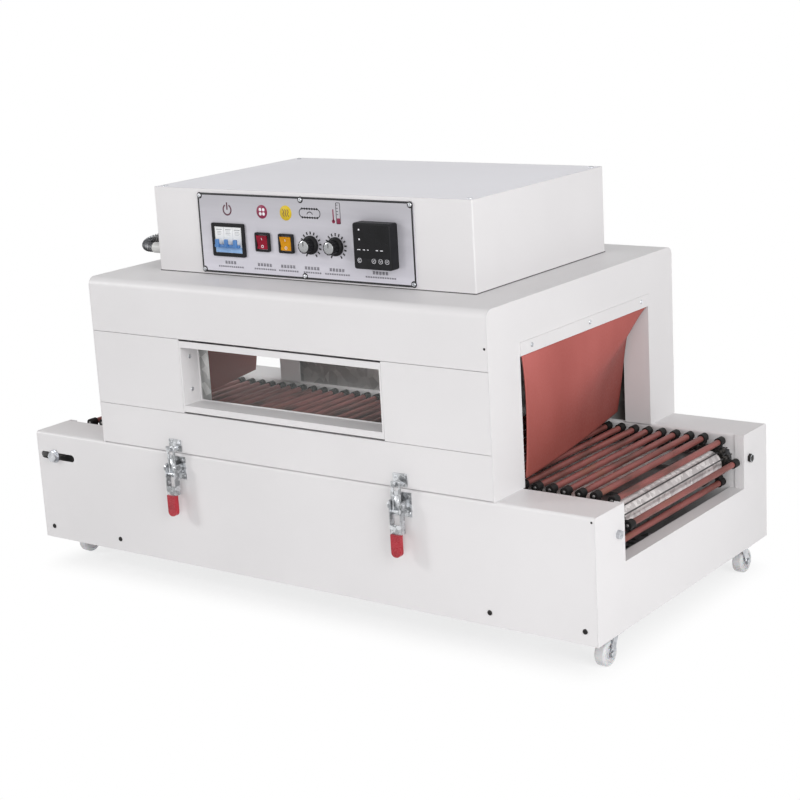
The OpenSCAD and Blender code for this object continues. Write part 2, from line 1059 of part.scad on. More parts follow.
// a rectangle standing on the origin with its two upper corners rounded
module round_top_mid(w, h, r) {
  translate([-w / 2, 0])
    round_top(w, h, r);
}

// hook bolt: two legs, a bar over the keeper and a trunnion in the lever
module latch_hook() {
  for (s = [-1, 1])
    translate([s * leg_x, pivot_y, crank_z])
      cylinder(d = hook_d, h = hook_z - crank_z);
  translate([0, pivot_y, hook_z])
    rod_x(hook_d, 2 * leg_x);
  for (s = [-1, 1])
    translate([s * leg_x, pivot_y, hook_z])
      sphere(d = hook_d);
  translate([0, pivot_y, crank_z])
    rod_x(7, 2 * (lever_in - 0.4));
  translate([0, pivot_y, crank_z])
    rod_x(rivet_d, 2 * (lever_in + lever_t + 0.4));
}

module left_latch_lever() {
  color("Gainsboro")
    translate([0, mid_y, 0])
      translate([-latch_x, 0, 0])
        latch_lever();
}

module left_latch_grip() {
  color("Red")
    translate([0, mid_y, 0])
      translate([-latch_x, 0, 0])
        latch_grip();
}

module left_latch_hook() {
  color("Silver")
    translate([0, mid_y, 0])
      translate([-latch_x, 0, 0])
        latch_hook();
}

module right_latch_lever() {
  color("Gainsboro")
    translate([0, mid_y, 0])
      translate([latch_x, 0, 0])
        latch_lever();
}

module right_latch_grip() {
  color("Red")
    translate([0, mid_y, 0])
      translate([latch_x, 0, 0])
        latch_grip();
}

module right_latch_hook() {
  color("Silver")
    translate([0, mid_y, 0])
      translate([latch_x, 0, 0])
        latch_hook();
}

// Casters

module caster_plates() {
  color("Silver")
    translate([0, mid_y, 0])
      for (i = [-1, 1], j = [-1, 1])
        translate([i * caster_x, j * caster_y, plate_z])
          linear_extrude(z0 - plate_z)
            round_rect(36, 36, 4);
}

// which way a caster trails along Y: the front left one has swung round
function way(i, j) = i < 0 ? 1 : j;

// pressed fork: round crown, two legs that sweep back to the axle
module fork(i, j) {
  s = way(i, j);
  translate([i * caster_x, j * caster_y, 0]) {
    translate([0, 0, crown_z])
      cylinder(r = fork_in + fork_t, h = plate_z - run - crown_z);
    for (k = [-1, 1])
      translate([k * (fork_in + fork_t / 2), 0, 0])
        along_x(fork_t) {
          polygon([[s * (5 - fork_in), crown_z + 2], [s * (trail - 5), wheel_d / 2 - 5],
            [s * (trail + 5), wheel_d / 2 + 3], [s * (fork_in - 2), crown_z + 2]]);
          translate([s * trail, wheel_d / 2])
            circle(6.5);
        }
    translate([0, s * trail, wheel_d / 2])
      rod_x(6, 2 * (fork_in + fork_t + 1));
  }
}

// moulded wheel with a rounded tread and a hub boss
module wheel(i, j) {
  translate([i * caster_x, j * caster_y + way(i, j) * trail, wheel_d / 2])
    rotate([0, 90, 0])
      rotate_extrude()
        difference() {
          union() {
            translate([3.4, -wheel_w / 2])
              square([wheel_d / 2 - 3.4 - 4, wheel_w]);
            translate([3.4, -wheel_w / 2 + 4])
              square([wheel_d / 2 - 3.4, wheel_w - 8]);
            for (s = [-1, 1])
              translate([wheel_d / 2 - 4, s * (wheel_w / 2 - 4)])
                circle(4);
          }
          for (s = [-1, 1])
            translate([wheel_d / 2 - 9, s * wheel_w / 2])
              square([6, 4], center = true);
        }
}

module front_left_fork() {
  color("Silver")
    translate([0, mid_y, 0])
      fork(-1, -1);
}

module front_right_fork() {
  color("Silver")
    translate([0, mid_y, 0])
      fork(1, -1);
}

module rear_left_fork() {
  color("Silver")
    translate([0, mid_y, 0])
      fork(-1, 1);
}

module rear_right_fork() {
  color("Silver")
    translate([0, mid_y, 0])
      fork(1, 1);
}

module front_left_wheel() {
  color("LightGray")
    translate([0, mid_y, 0])
      wheel(-1, -1);
}

module front_right_wheel() {
  color("LightGray")
    translate([0, mid_y, 0])
      wheel(1, -1);
}

module rear_left_wheel() {
  color("LightGray")
    translate([0, mid_y, 0])
      wheel(-1, 1);
}

module rear_right_wheel() {
  color("LightGray")
    translate([0, mid_y, 0])
      wheel(1, 1);
}

base_front_panel();
base_rear_panel();
base_end_plates();
base_pan();
chain_rails();
reflector_tray();
front_chain();
rear_chain();
rod_holders();
conveyor_rods();
sprockets();
end_shafts();
shaft_bearings();
take_up_bolts();
hood_cover();
hood_front_lower_panel();
hood_front_side_panels();
window_frame();
window_glass();
hood_rear_panels();
hood_end_frames();
chamber_lining();
curtain_strips();
exit_curtain();
entry_curtain();
control_box();
control_box_lid();
control_panel();
breaker_frame();
breaker_body();
breaker_lever();
switch_bezels();
red_rocker();
amber_rocker();
speed_knob();
heat_knob();
temperature_controller();
conduit();
latch_plates();
left_latch_lever();
left_latch_grip();
left_latch_hook();
right_latch_lever();
right_latch_grip();
right_latch_hook();
caster_plates();
front_left_fork();
front_right_fork();
rear_left_fork();
rear_right_fork();
front_left_wheel();
front_right_wheel();
rear_left_wheel();
rear_right_wheel();
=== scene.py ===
import bmesh
import bpy
import numpy as np
from mathutils import Matrix, Vector


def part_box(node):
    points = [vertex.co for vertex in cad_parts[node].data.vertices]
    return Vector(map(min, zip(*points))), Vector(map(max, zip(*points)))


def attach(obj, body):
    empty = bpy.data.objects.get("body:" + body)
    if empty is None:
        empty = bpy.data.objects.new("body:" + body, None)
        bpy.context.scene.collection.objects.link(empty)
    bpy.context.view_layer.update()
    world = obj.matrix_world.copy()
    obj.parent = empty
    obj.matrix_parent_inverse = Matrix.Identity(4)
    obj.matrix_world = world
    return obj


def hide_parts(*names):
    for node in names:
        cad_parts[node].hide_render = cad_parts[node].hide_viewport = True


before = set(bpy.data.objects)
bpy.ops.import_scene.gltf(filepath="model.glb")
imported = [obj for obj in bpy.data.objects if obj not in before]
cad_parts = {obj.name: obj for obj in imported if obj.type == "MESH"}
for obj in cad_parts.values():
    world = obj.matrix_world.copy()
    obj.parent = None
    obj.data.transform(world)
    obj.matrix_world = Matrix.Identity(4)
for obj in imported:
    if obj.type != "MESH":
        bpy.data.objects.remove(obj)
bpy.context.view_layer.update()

# Base: folded sheet-steel panels and end plates in white powder coat, screwed together along the
# bottom. The coat has a fine orange-peel skin and hardly any change of tone.


def tone(red, green, blue):
    """A colour written in screen bytes, as the linear value that a shader socket takes."""
    c = np.array([red, green, blue]) / 255.0
    c = np.where(c <= 0.04045, c / 12.92, ((c + 0.055) / 1.055) ** 2.4)
    return (*c.tolist(), 1.0)


def coat(name, tones, scale, grain, rough, bump, metallic=0.0, stretch=(1, 1, 1), **even):
    """A finish on Object coordinates. A broad noise picks between the tones; a fine noise moves the
    roughness between the two ends of rough and lifts the skin by bump metres."""
    mat = bpy.data.materials.new(name)
    mat.use_nodes = True
    make, link = mat.node_tree.nodes.new, mat.node_tree.links.new
    shader = mat.node_tree.nodes["Principled BSDF"]
    shader.inputs["Metallic"].default_value = metallic
    for socket, value in even.items():
        shader.inputs[socket.replace("_", " ")].default_value = value
    place = make("ShaderNodeTexCoord")
    spread = make("ShaderNodeMapping")
    spread.inputs["Scale"].default_value = stretch
    link(place.outputs["Object"], spread.inputs["Vector"])
    broad = make("ShaderNodeTexNoise")
    broad.inputs["Scale"].default_value = scale
    broad.inputs["Detail"].default_value = 4.0
    ramp = make("ShaderNodeValToRGB")
    stops = ramp.color_ramp.elements
    for _ in range(len(tones) - 2):
        stops.new(0.5)
    for k, colour in enumerate(tones):
        stops[k].position = 0.32 + 0.36 * k / (len(tones) - 1)
        stops[k].color = tone(*colour)
    fine = make("ShaderNodeTexNoise")
    fine.inputs["Scale"].default_value = grain
    fine.inputs["Detail"].default_value = 2.0
    reach = make("ShaderNodeMapRange")
    reach.inputs["From Min"].default_value = 0.3
    reach.inputs["From Max"].default_value = 0.7
    reach.inputs["To Min"].default_value, reach.inputs["To Max"].default_value = rough
    skin = make("ShaderNodeBump")
    skin.inputs["Distance"].default_value = bump
    skin.inputs["Strength"].default_value = 1.0
    link(spread.outputs["Vector"], broad.inputs["Vector"])
    link(spread.outputs["Vector"], fine.inputs["Vector"])
    link(broad.outputs["Fac"], ramp.inputs["Fac"])
    link(ramp.outputs["Color"], shader.inputs["Base Color"])
    link(fine.outputs["Fac"], reach.inputs["Value"])
    link(reach.outputs["Result"], shader.inputs["Roughness"])
    link(fine.outputs["Fac"], skin.inputs["Height"])
    link(skin.outputs["Normal"], shader.inputs["Normal"])
    return mat


def dress(material, *names):
    """Gives the named solids their finish."""
    for name in names:
        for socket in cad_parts[name].material_slots:
            socket.material = material


def mesh_of(rows, columns, round_rows=False):
    """Quads between neighbours on a grid of rows by columns whose columns close on themselves."""
    r = np.arange(rows if round_rows else rows - 1)[:, None]
    c = np.arange(columns)[None, :]
    n, d = (r + 1) % rows, (c + 1) % columns
    quads = [r * columns + c, r * columns + d, n * columns + d, n * columns + c]
    return np.stack(np.broadcast_arrays(*quads), -1).reshape(-1, 4)


def set_out(shape, places, out=(0, 0, 1)):
    """One copy of a shape at each place, its own +Z turned to point along out."""
    points, faces = shape
    turn = np.array(Vector((0, 0, 1)).rotation_difference(Vector(out)).to_matrix())
    places = np.atleast_2d(np.array(places, float))
    step = (np.arange(len(places)) * len(points))[:, None, None]
    return (((points @ turn.T)[None] + places[:, None]).reshape(-1, 3),
            (faces[None] + step).reshape(-1, 4))


def joined(*shapes):
    """Several shapes as one set of points and faces."""
    sizes = np.cumsum([0] + [len(points) for points, _ in shapes])
    return (np.concatenate([points for points, _ in shapes]),
            np.concatenate([faces + k for (_, faces), k in zip(shapes, sizes)]))


def piece(name, shape, material, body, smooth=True):
    """Puts a shape in a mesh object at the origin, closes its poles and seams, turns its faces
    outwards and fixes it to a body."""
    points, faces = shape
    mesh = bpy.data.meshes.new(name)
    mesh.vertices.add(len(points))
    mesh.vertices.foreach_set("co", np.ascontiguousarray(points, np.float32).ravel())
    mesh.loops.add(faces.size)
    mesh.loops.foreach_set("vertex_index", np.ascontiguousarray(faces, np.int32).ravel())
    mesh.polygons.add(len(faces))
    mesh.polygons.foreach_set("loop_start", np.arange(0, faces.size, 4, dtype=np.int32))
    mesh.update(calc_edges=True)
    work = bmesh.new()
    work.from_mesh(mesh)
    bmesh.ops.remove_doubles(work, verts=work.verts, dist=2e-6)
    bmesh.ops.dissolve_degenerate(work, edges=work.edges, dist=1e-7)
    bmesh.ops.recalc_face_normals(work, faces=work.faces)
    work.to_mesh(mesh)
    work.free()
    mesh.materials.append(material)
    if smooth:
        mesh.shade_smooth()
        mesh.set_sharp_from_angle(angle=0.6)
    made = bpy.data.objects.new(name, mesh)
    bpy.context.scene.collection.objects.link(made)
    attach(made, body)
    return made


def screw(radius, height):
    """A pan-head screw: z = h (1 - (r/R)^4)^(1/2) over rings r and turns t, with a cross sunk where
    the lesser of |x| and |y| is under a tenth of the head."""
    r = radius * np.array([0, 0.12, 0.24, 0.36, 0.48, 0.62, 0.76, 0.88, 0.96, 1.0, 1.0])[:, None]
    t = np.arange(32)[None, :] * np.pi / 16
    x, y = r * np.cos(t), r * np.sin(t)
    z = height * np.sqrt(np.clip(1 - (r / radius) ** 4, 0, 1)) + 0 * t
    cross = np.exp(-(np.minimum(abs(x), abs(y)) / (0.12 * radius)) ** 4)
    z = z - 0.5 * height * cross * (r < 0.55 * radius)
    z[-1] = -0.0002
    return np.stack([x, y, z], -1).reshape(-1, 3), mesh_of(len(r), 32)


paint = coat("white_powder_coat", [(218, 216, 217), (221, 219, 220), (224, 222, 223)], 3.0, 900.0,
             (0.36, 0.5), 0.00002, Specular_IOR_Level=0.4)
dress(paint, "base_front_panel", "base_rear_panel", "base_end_plates")
dark_screw = coat("blackened_screw", [(38, 37, 37), (58, 57, 56)], 300.0, 1500.0, (0.35, 0.6),
                  0.00002, metallic=0.8)
front_lo, front_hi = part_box("base_front_panel")
rear_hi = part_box("base_rear_panel")[1]
foot_z, foot_x = 0.071, (-0.547, -0.383, 0.383, 0.547)
corner_spot = (front_hi.x - 0.004, front_lo.y, front_hi.z - 0.007)
piece("base_screws", joined(
    set_out(screw(0.0042, 0.0018), [(x, front_lo.y, foot_z) for x in foot_x], (0, -1, 0)),
    set_out(screw(0.0018, 0.0006), corner_spot, (0, -1, 0)),
    set_out(screw(0.0042, 0.0018), [(x, rear_hi.y, foot_z) for x in foot_x], (0, 1, 0))),
    dark_screw, "machine")

# Pan, chain rails, tray and chamber lining: bare galvanised sheet. Each zinc crystal catches the
# light at its own brightness, so the sheet looks mottled. The exit ends of the tray and the lining
# are painted darker, a painted shade for the dark inside the chamber, and the lining is cut out
# wider and lower at the window than its solid.


def spangle(name, size, dull, bright, rough, metallic=1.0):
    """Bare zinc sheet: each cell of a Voronoi pattern takes its own grey, streaked by a broad noise,
    and a fine noise moves the roughness."""
    mat = coat(name, [dull, bright], 30.0, 700.0, rough, 0.00001, metallic=metallic)
    nodes, link = mat.node_tree.nodes, mat.node_tree.links.new
    place = next(n for n in nodes if n.type == "TEX_COORD")
    ramp = next(n for n in nodes if n.type == "VALTORGB")
    broad = next(n for n in nodes if n.type == "TEX_NOISE")
    cells = nodes.new("ShaderNodeTexVoronoi")
    cells.inputs["Scale"].default_value = size
    grey = nodes.new("ShaderNodeSeparateColor")
    blend = nodes.new("ShaderNodeMix")
    blend.inputs["Factor"].default_value = 0.55
    link(place.outputs["Object"], cells.inputs["Vector"])
    link(cells.outputs["Color"], grey.inputs["Color"])
    link(broad.outputs["Fac"], blend.inputs[2])
    link(grey.outputs["Red"], blend.inputs[3])
    link(blend.outputs[0], ramp.inputs["Fac"])
    return mat


def darkened_along(mat, low, high, colour, axis="Z"):
    """Multiplies a finish by a colour from low on along an axis, less and less towards high."""
    nodes, link = mat.node_tree.nodes, mat.node_tree.links.new
    place = next(n for n in nodes if n.type == "TEX_COORD")
    ramp = next(n for n in nodes if n.type == "VALTORGB")
    parts = nodes.new("ShaderNodeSeparateXYZ")
    reach = nodes.new("ShaderNodeMapRange")
    reach.inputs["From Min"].default_value, reach.inputs["From Max"].default_value = high, low
    blend = nodes.new("ShaderNodeMix")
    blend.data_type, blend.blend_type = "RGBA", "MULTIPLY"
    blend.inputs[7].default_value = tone(*colour)
    link(place.outputs["Object"], parts.inputs["Vector"])
    link(parts.outputs[axis], reach.inputs["Value"])
    link(reach.outputs["Result"], blend.inputs[0])
    link(ramp.outputs["Color"], blend.inputs[6])
    link(blend.outputs[2], nodes["Principled BSDF"].inputs["Base Color"])


zinc_sheet = spangle("galvanised_sheet", 70.0, (150, 150, 152), (226, 226, 228), (0.22, 0.42))
dress(zinc_sheet, "base_pan", "chain_rails")
bright_zinc = spangle("bright_zinc_sheet", 60.0, (206, 205, 204), (250, 249, 247), (0.3, 0.5),
                      0.05)
# Painted shade: the lining is made darker from x = 0.34 m on, less and less back to 0.27 m.
darkened_along(bright_zinc, 0.34, 0.27, (84, 80, 78), "X")


def slab(low, high):
    """A closed block between two corners: four upright edges, drawn to the middle at each end."""
    (x0, y0, z0), (x1, y1, z1) = low, high
    x, y = np.array([x0, x1, x1, x0]), np.array([y0, y0, y1, y1])
    z = np.array([z0, z0, z1, z1])[:, None]
    ring = np.stack(np.broadcast_arrays(x, y, z), -1)
    ring[[0, 3]] = ring[[0, 3]].mean(1, keepdims=True)
    return ring.reshape(-1, 3), mesh_of(4, 4)


lining_lo, lining_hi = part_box("chamber_lining")
lining_t, half_width, lining_y = 0.001, 0.2045, (lining_lo.y + lining_hi.y) / 2
x0, x1, z0, z1 = lining_lo.x, lining_hi.x, lining_lo.z, lining_hi.z
front_out, rear_in = lining_y - half_width - lining_t, lining_y + half_width
front_in, rear_out = front_out + lining_t, rear_in + lining_t
cut_left, cut_right, cut_foot, cut_head = -0.213, 0.202, 0.314, 0.4276
plates = [slab((x0, rear_in, z0), (x1, rear_out, z1)),
          slab((x0, front_in, z1 - lining_t), (x1, rear_in, z1)),
          slab((x0, front_out, z0), (x1, front_in, cut_foot)),
          slab((x0, front_out, cut_head), (x1, front_in, z1)),
          slab((x0, front_out, cut_foot), (cut_left, front_in, cut_head)),
          slab((cut_right, front_out, cut_foot), (x1, front_in, cut_head)),
          slab((x0, lining_lo.y, z0), (x1, front_out, z0 + lining_t)),
          slab((x0, rear_out, z0), (x1, lining_hi.y, z0 + lining_t))]
lining = piece("lining_sheets", joined(*plates), bright_zinc, "machine", smooth=False)
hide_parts("chamber_lining")
tray_zinc = spangle("tray_zinc", 60.0, (206, 205, 204), (242, 241, 239), (0.3, 0.5), 0.35)
# Painted shade: the tray is made darker from x = 0.474 m on, less and less back to 0.462 m.
darkened_along(tray_zinc, 0.474, 0.462, (92, 90, 90), "X")
dress(tray_zinc, "reflector_tray")

# Conveyor chains: oiled roller chain on cast sprockets, with a dark film in the links.
chain_steel = coat("oiled_chain_steel", [(34, 32, 31), (62, 59, 57), (98, 94, 90)], 220.0, 1400.0,
                   (0.3, 0.6), 0.00003, metallic=0.85)
dress(chain_steel, "front_chain", "rear_chain")
cast = coat("cast_grey", [(58, 58, 60), (88, 88, 90)], 160.0, 900.0, (0.45, 0.7), 0.00005,
            metallic=0.6)
dress(cast, "sprockets", "shaft_bearings")

# End shafts and take-up bolts: zinc-plated steel. Two dark lines along the exit tube are painted
# reflections of the rods in it. The rear bolts of the end plates have dark heads.
zinc = coat("zinc_plated", [(166, 168, 172), (196, 198, 202), (216, 217, 220)], 90.0, 1100.0,
            (0.2, 0.38), 0.00001, metallic=1.0)
dress(zinc, "take_up_bolts")
tube_zinc = spangle("mottled_zinc_tube", 120.0, (182, 176, 176), (222, 217, 216), (0.3, 0.48), 0.7)
dress(tube_zinc, "end_shafts")


def turned(profile, sides):
    """A profile of radius and height pairs carried round Z: x = r cos t, y = r sin t, z = h."""
    r, h = np.array(profile, float).T
    t = np.arange(sides) * 2 * np.pi / sides
    ring = [np.outer(r, np.cos(t)), np.outer(r, np.sin(t)), np.outer(h, np.ones(sides))]
    return np.stack(ring, -1).reshape(-1, 3), mesh_of(len(r), sides)


def strip(length, width, height):
    """A thin straight bar along y, lying on z = 0."""
    return slab((-width / 2, -length / 2, 0), (width / 2, length / 2, height))


shaft_lo, shaft_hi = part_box("end_shafts")
tube_r = (shaft_hi.z - shaft_lo.z) / 2
tube_x, mid_y, shaft_z = shaft_hi.x - tube_r, (shaft_lo.y + shaft_hi.y) / 2, shaft_lo.z + tube_r
# Painted reflections: two thin dark strips on the exit tube stand for the rods mirrored in it. The
# same dark finish paints the shadow round the foot of the control box.
painted_dark = coat("painted_dark_lines", [(50, 49, 50), (72, 70, 70)], 90.0, 900.0, (0.5, 0.65), 0.00001)
rod_reflection_line = strip(0.40, 0.0024, 0.00025)
lines_at = [np.array([np.cos(a), 0, np.sin(a)]) for a in np.radians([22, 58])]
tube_middle = np.array([tube_x, mid_y, shaft_z])
piece("tube_painted_rod_reflections", joined(*[
    set_out(rod_reflection_line, tube_middle + (tube_r - 0.0001) * out, out) for out in lines_at]), painted_dark,
    "machine")
plate_x, bolt_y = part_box("base_end_plates")[1].x, mid_y + 0.2175
head = turned([(0, 0.0060), (0.0050, 0.0060), (0.0073, 0.0050), (0.0073, 0.0002)], 6)
piece("end_plate_bolt_heads", joined(*[
    set_out(head, (s * plate_x, bolt_y, shaft_z - 0.001), (s, 0, 0)) for s in (-1, 1)]), dark_screw,
    "machine")

# Rods: a steel core in a brick-red silicone sleeve that heat and film have stained brown, held at
# each end in a black moulded holder. The end of each core shows as a bright pin.


def loop_pins(pitch, teeth, span, out):
    """Middles of every second chain link, moved outwards by out: a straight top run, half a
    sprocket, the bottom run and the other half sprocket, each as points a pitch apart."""
    radius = pitch / (2 * np.sin(np.pi / teeth))
    half = span * pitch / 2
    turn = np.arange(teeth // 2) * 2 * np.pi / teeth
    run = np.arange(span) * pitch
    left = np.stack([-half - radius * np.sin(turn), radius * np.cos(turn)], -1)
    right = np.stack([half + radius * np.sin(turn), -radius * np.cos(turn)], -1)
    top = np.stack([half - run, np.full(span, radius)], -1)
    bottom = np.stack([-half + run, np.full(span, -radius)], -1)
    pins = np.concatenate([top, left, bottom, right])
    ends = np.roll(pins, -1, 0)
    along = (ends - pins) / pitch
    middle = (pins + ends) / 2 + out * np.stack([along[:, 1], -along[:, 0]], -1)
    return middle[1::2]


sleeve = coat("silicone_sleeve", [(80, 46, 38), (118, 64, 58), (138, 76, 72), (128, 78, 64)], 9.0,
              500.0, (0.42, 0.7), 0.00006, stretch=(5, 1, 5))
dress(sleeve, "conveyor_rods")
holder_black = coat("holder_black", [(20, 19, 19), (30, 28, 28)], 60.0, 900.0, (0.55, 0.75),
                    0.00003, Specular_IOR_Level=0.2)
dress(holder_black, "rod_holders")
pin_steel = coat("rod_core_steel", [(128, 126, 125), (158, 156, 154)], 200.0, 1200.0, (0.35, 0.5),
                 0.00001, metallic=0.9)
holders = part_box("rod_holders")
chain_pitch, sprocket_teeth, links_between, rod_lift = 0.0127, 10, 83, 0.0165
spots = loop_pins(chain_pitch, sprocket_teeth, links_between, rod_lift)
pin = turned([(0, 0.0011), (0.0017, 0.001), (0.0024, 0.0005), (0.0026, -0.0001)], 10)
ends = [np.stack([spots[:, 0], np.full(len(spots), y), shaft_z + spots[:, 1]], -1)
        for y in (holders[0].y, holders[1].y)]
piece("rod_end_pins", joined(set_out(pin, ends[0], (0, -1, 0)), set_out(pin, ends[1], (0, 1, 0))),
      pin_steel, "machine")

# Hood: bent cover, screwed-in panels and a deep window frame, all in the same powder coat. The
# left reveal of the window is held by two plated screws.


def outline(x, z, width, height, corner, count=6):
    """Points round a rectangle with round corners, as x, z pairs."""
    t = np.linspace(0, np.pi / 2, count)
    arcs = [np.stack([np.cos(t + k * np.pi / 2), np.sin(t + k * np.pi / 2)], -1) for k in range(4)]
    mids = np.array([(1, 1), (-1, 1), (-1, -1), (1, -1)]) * (
        np.array([width, height]) / 2 - corner)
    loop = np.concatenate([corner * arc + mid for arc, mid in zip(arcs, mids)])
    return loop + np.array([x, z])


dress(paint, "hood_cover", "hood_front_lower_panel", "hood_front_side_panels", "hood_rear_panels",
      "hood_end_frames", "curtain_strips")
window_lo, window_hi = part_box("window_frame")
window_z, sheet_t = (window_lo.z + window_hi.z) / 2, 0.0015
window_edge, window_rim, frame_gap, glass_rest = 0.0035, 0.0130, 0.0014, 0.003
solid_size = np.array([window_hi.x - window_lo.x, window_hi.z - window_lo.z])
flange = solid_size - (0.0006, 0.0022)
clear = solid_size - (2 * window_edge, 2 * (window_rim - frame_gap))
front_y, back_y = window_lo.y, window_hi.y
steps = [(flange, front_y + sheet_t), (flange, front_y), (clear, front_y),
         (clear, back_y - sheet_t), (clear - glass_rest, back_y - sheet_t),
         (clear - glass_rest, back_y), (clear + 2 * sheet_t, back_y),
         (clear + 2 * sheet_t, front_y + sheet_t)]
rings = [np.insert(outline(0, window_z, *size, 0.0008, 3), 1, y, axis=1) for size, y in steps]
fold = np.concatenate(rings), mesh_of(len(rings), len(rings[0]), True)
surround = piece("window_surround", fold, paint, "machine")
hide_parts("window_frame")
piece("window_screws", set_out(screw(0.0035, 0.0012), [
    (window_lo.x + window_edge, front_y + 0.021, z) for z in (0.353, 0.408)], (1, 0, 0)), zinc,
    "machine")
hood_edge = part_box("hood_cover")[1].x
piece("corner_screw", set_out(screw(0.0020, 0.0006), (hood_edge - 0.004, front_lo.y, 0.475),
                              (0, -1, 0)), dark_screw, "machine")

# Window: clear toughened glass pushed into the frame from behind.
glass = bpy.data.materials.new("clear_glass")
glass.use_nodes = True
pane = glass.node_tree.nodes["Principled BSDF"]
pane.inputs["Alpha"].default_value = 0.04
film = glass.node_tree.nodes.new("ShaderNodeTexNoise")
film.inputs["Scale"].default_value = 14.0
where = glass.node_tree.nodes.new("ShaderNodeTexCoord")
haze = glass.node_tree.nodes.new("ShaderNodeMapRange")
haze.inputs["To Min"].default_value, haze.inputs["To Max"].default_value = 0.04, 0.12
tint = glass.node_tree.nodes.new("ShaderNodeValToRGB")
tint.color_ramp.elements[0].color = tone(238, 243, 241)
tint.color_ramp.elements[1].color = tone(247, 250, 249)
link = glass.node_tree.links.new
link(where.outputs["Object"], film.inputs["Vector"])
link(film.outputs["Fac"], haze.inputs["Value"])
link(haze.outputs["Result"], pane.inputs["Roughness"])
link(film.outputs["Fac"], tint.inputs["Fac"])
link(tint.outputs["Color"], pane.inputs["Base Color"])
dress(glass, "window_glass")

# Curtains: one sheet of silicone-coated glass cloth at each mouth, clamped along its upper edge
# under a strip with three screws. The sheets are pushed in at the rear corner and creased.


def hung_sheet(top, width, drop, curl):
    """A sheet from its hem down, over u across and v down, pushed in towards -x at its rear corner.
    The push on the rear edge rises fast, then slowly:
    d = 0.030 (1 - exp(-(v / 0.11)^1.3)) + 0.030 v.
    Across the sheet it sets in at a crease c = 1 - 0.84 v as the soft ramp
    (q + sqrt(q^2 + w^2)) / 2 of q = u - c, and w grows with v so that the crease dies out."""
    u, v = np.meshgrid(np.linspace(0, 1, 97), np.linspace(0, 1, 61))
    rear = 0.030 * (1 - np.exp(-(v / 0.11) ** 1.3)) + 0.030 * v
    crease = 1 - 0.84 * v
    soft = 0.02 + 0.9 * np.clip(v - 0.2, 0, 1) ** 1.5
    ramp = [0.5 * (q + np.sqrt(q ** 2 + soft ** 2)) for q in (u - crease, -crease, 1 - crease)]
    inward = (rear * (ramp[0] - ramp[1]) / (ramp[2] - ramp[1])
              + 0.0018 * np.sin(8 * u + 3 * v) * np.sin(np.pi * v) * v)
    pull = curl * np.sin(np.pi * np.clip(v * 1.05, 0, 1)) ** 0.8 * np.exp(-u / 0.12)
    points = np.stack([top.x - inward, top.y + (u - 0.5) * width + pull,
                       top.z - v * drop * (1 - 0.02 * u * v)], -1)
    rows, columns = u.shape
    a = np.arange(rows - 1)[:, None] * columns + np.arange(columns - 1)[None, :]
    faces = np.stack([a, a + 1, a + columns + 1, a + columns], -1).reshape(-1, 4)
    return points.reshape(-1, 3), faces


cloth = coat("silicone_cloth", [(152, 76, 70), (172, 92, 87), (188, 106, 101)], 4.0, 420.0,
             (0.5, 0.68), 0.00005, stretch=(1, 1, 0.55), Specular_IOR_Level=0.2)
# The cloth is made darker towards the foot of each sheet.
darkened_along(cloth, 0.27, 0.44, (206, 198, 190))
for name in ("exit", "entry"):
    lo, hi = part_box(name + "_curtain")
    hem = Vector((hi.x - 0.0014, (lo.y + hi.y) / 2, hi.z - 0.0002))
    wide, deep = hi.y - lo.y, hi.z - lo.z
    curtain = piece(name + "_curtain_sheet", hung_sheet(hem, wide, deep, 0.009), cloth,
                    name + "_curtain")
    wall = curtain.modifiers.new("thickness", "SOLIDIFY")
    wall.thickness, wall.offset = 0.0016, 0.0
    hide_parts(name + "_curtain")
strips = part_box("curtain_strips")
piece("strip_screws", joined(*[set_out(screw(0.0036, 0.0016), [
    (x, mid_y + y, strips[0].z + 0.011) for y in (-0.165, 0.006, 0.172)], (s, 0, 0))
    for s, x in ((-1, strips[0].x), (1, strips[1].x))]), zinc, "machine")

# Control box: folded sheet with a grey lid screwed on at its corners.
dress(paint, "control_box")
# The lid's grey-white tone is its own paint, made lighter than the body's as a painted highlight for
# the sheen on its top.
lid_paint_and_sheen = coat("grey_powder_coat_and_sheen", [(236, 235, 241), (240, 239, 245)], 4.0, 900.0, (0.34, 0.46),
                 0.00002, Specular_IOR_Level=0.4)
dress(lid_paint_and_sheen, "control_box_lid")
lid_lo, lid_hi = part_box("control_box_lid")
piece("lid_screws", set_out(screw(0.0045, 0.0016), [
    (x, y, lid_hi.z) for x in (lid_lo.x + 0.011, lid_hi.x - 0.011)
    for y in (lid_lo.y + 0.012, lid_hi.y - 0.012)]), zinc, "machine")

# Panel plate: satin aluminium with a printed black border and plain signs, held by six screws. It is
# painted darker towards its top, a painted reflection. A thin painted shadow runs round the foot of
# the box below it, in the joint between box and hood top.


def stroke(path, width, face, lift, closed=False):
    """A flat printed line: a rectangle of the given width and lift carried along a path of x, z
    points on the panel; an open line is closed by drawing its end rings to a point."""
    path = np.array(path, float)
    if closed:
        way = np.roll(path, -1, 0) - np.roll(path, 1, 0)
    else:
        way = np.gradient(path, axis=0)
    way /= np.linalg.norm(way, axis=1, keepdims=True)
    off = np.stack([-way[:, 1], way[:, 0]], -1) * width / 2
    rim = np.stack([path - off, path - off, path + off, path + off], 1)
    rise = np.array([0.00005, -lift, -lift, 0.00005])
    ring = np.stack([rim[..., 0], np.broadcast_to(face + rise, rim.shape[:2]), rim[..., 1]], -1)
    if not closed:
        tip = ring[[0, -1]].mean(1, keepdims=True).repeat(4, 1)
        ring = np.concatenate([tip[:1], ring, tip[1:]])
    return ring.reshape(-1, 3), mesh_of(len(ring), 4, closed)


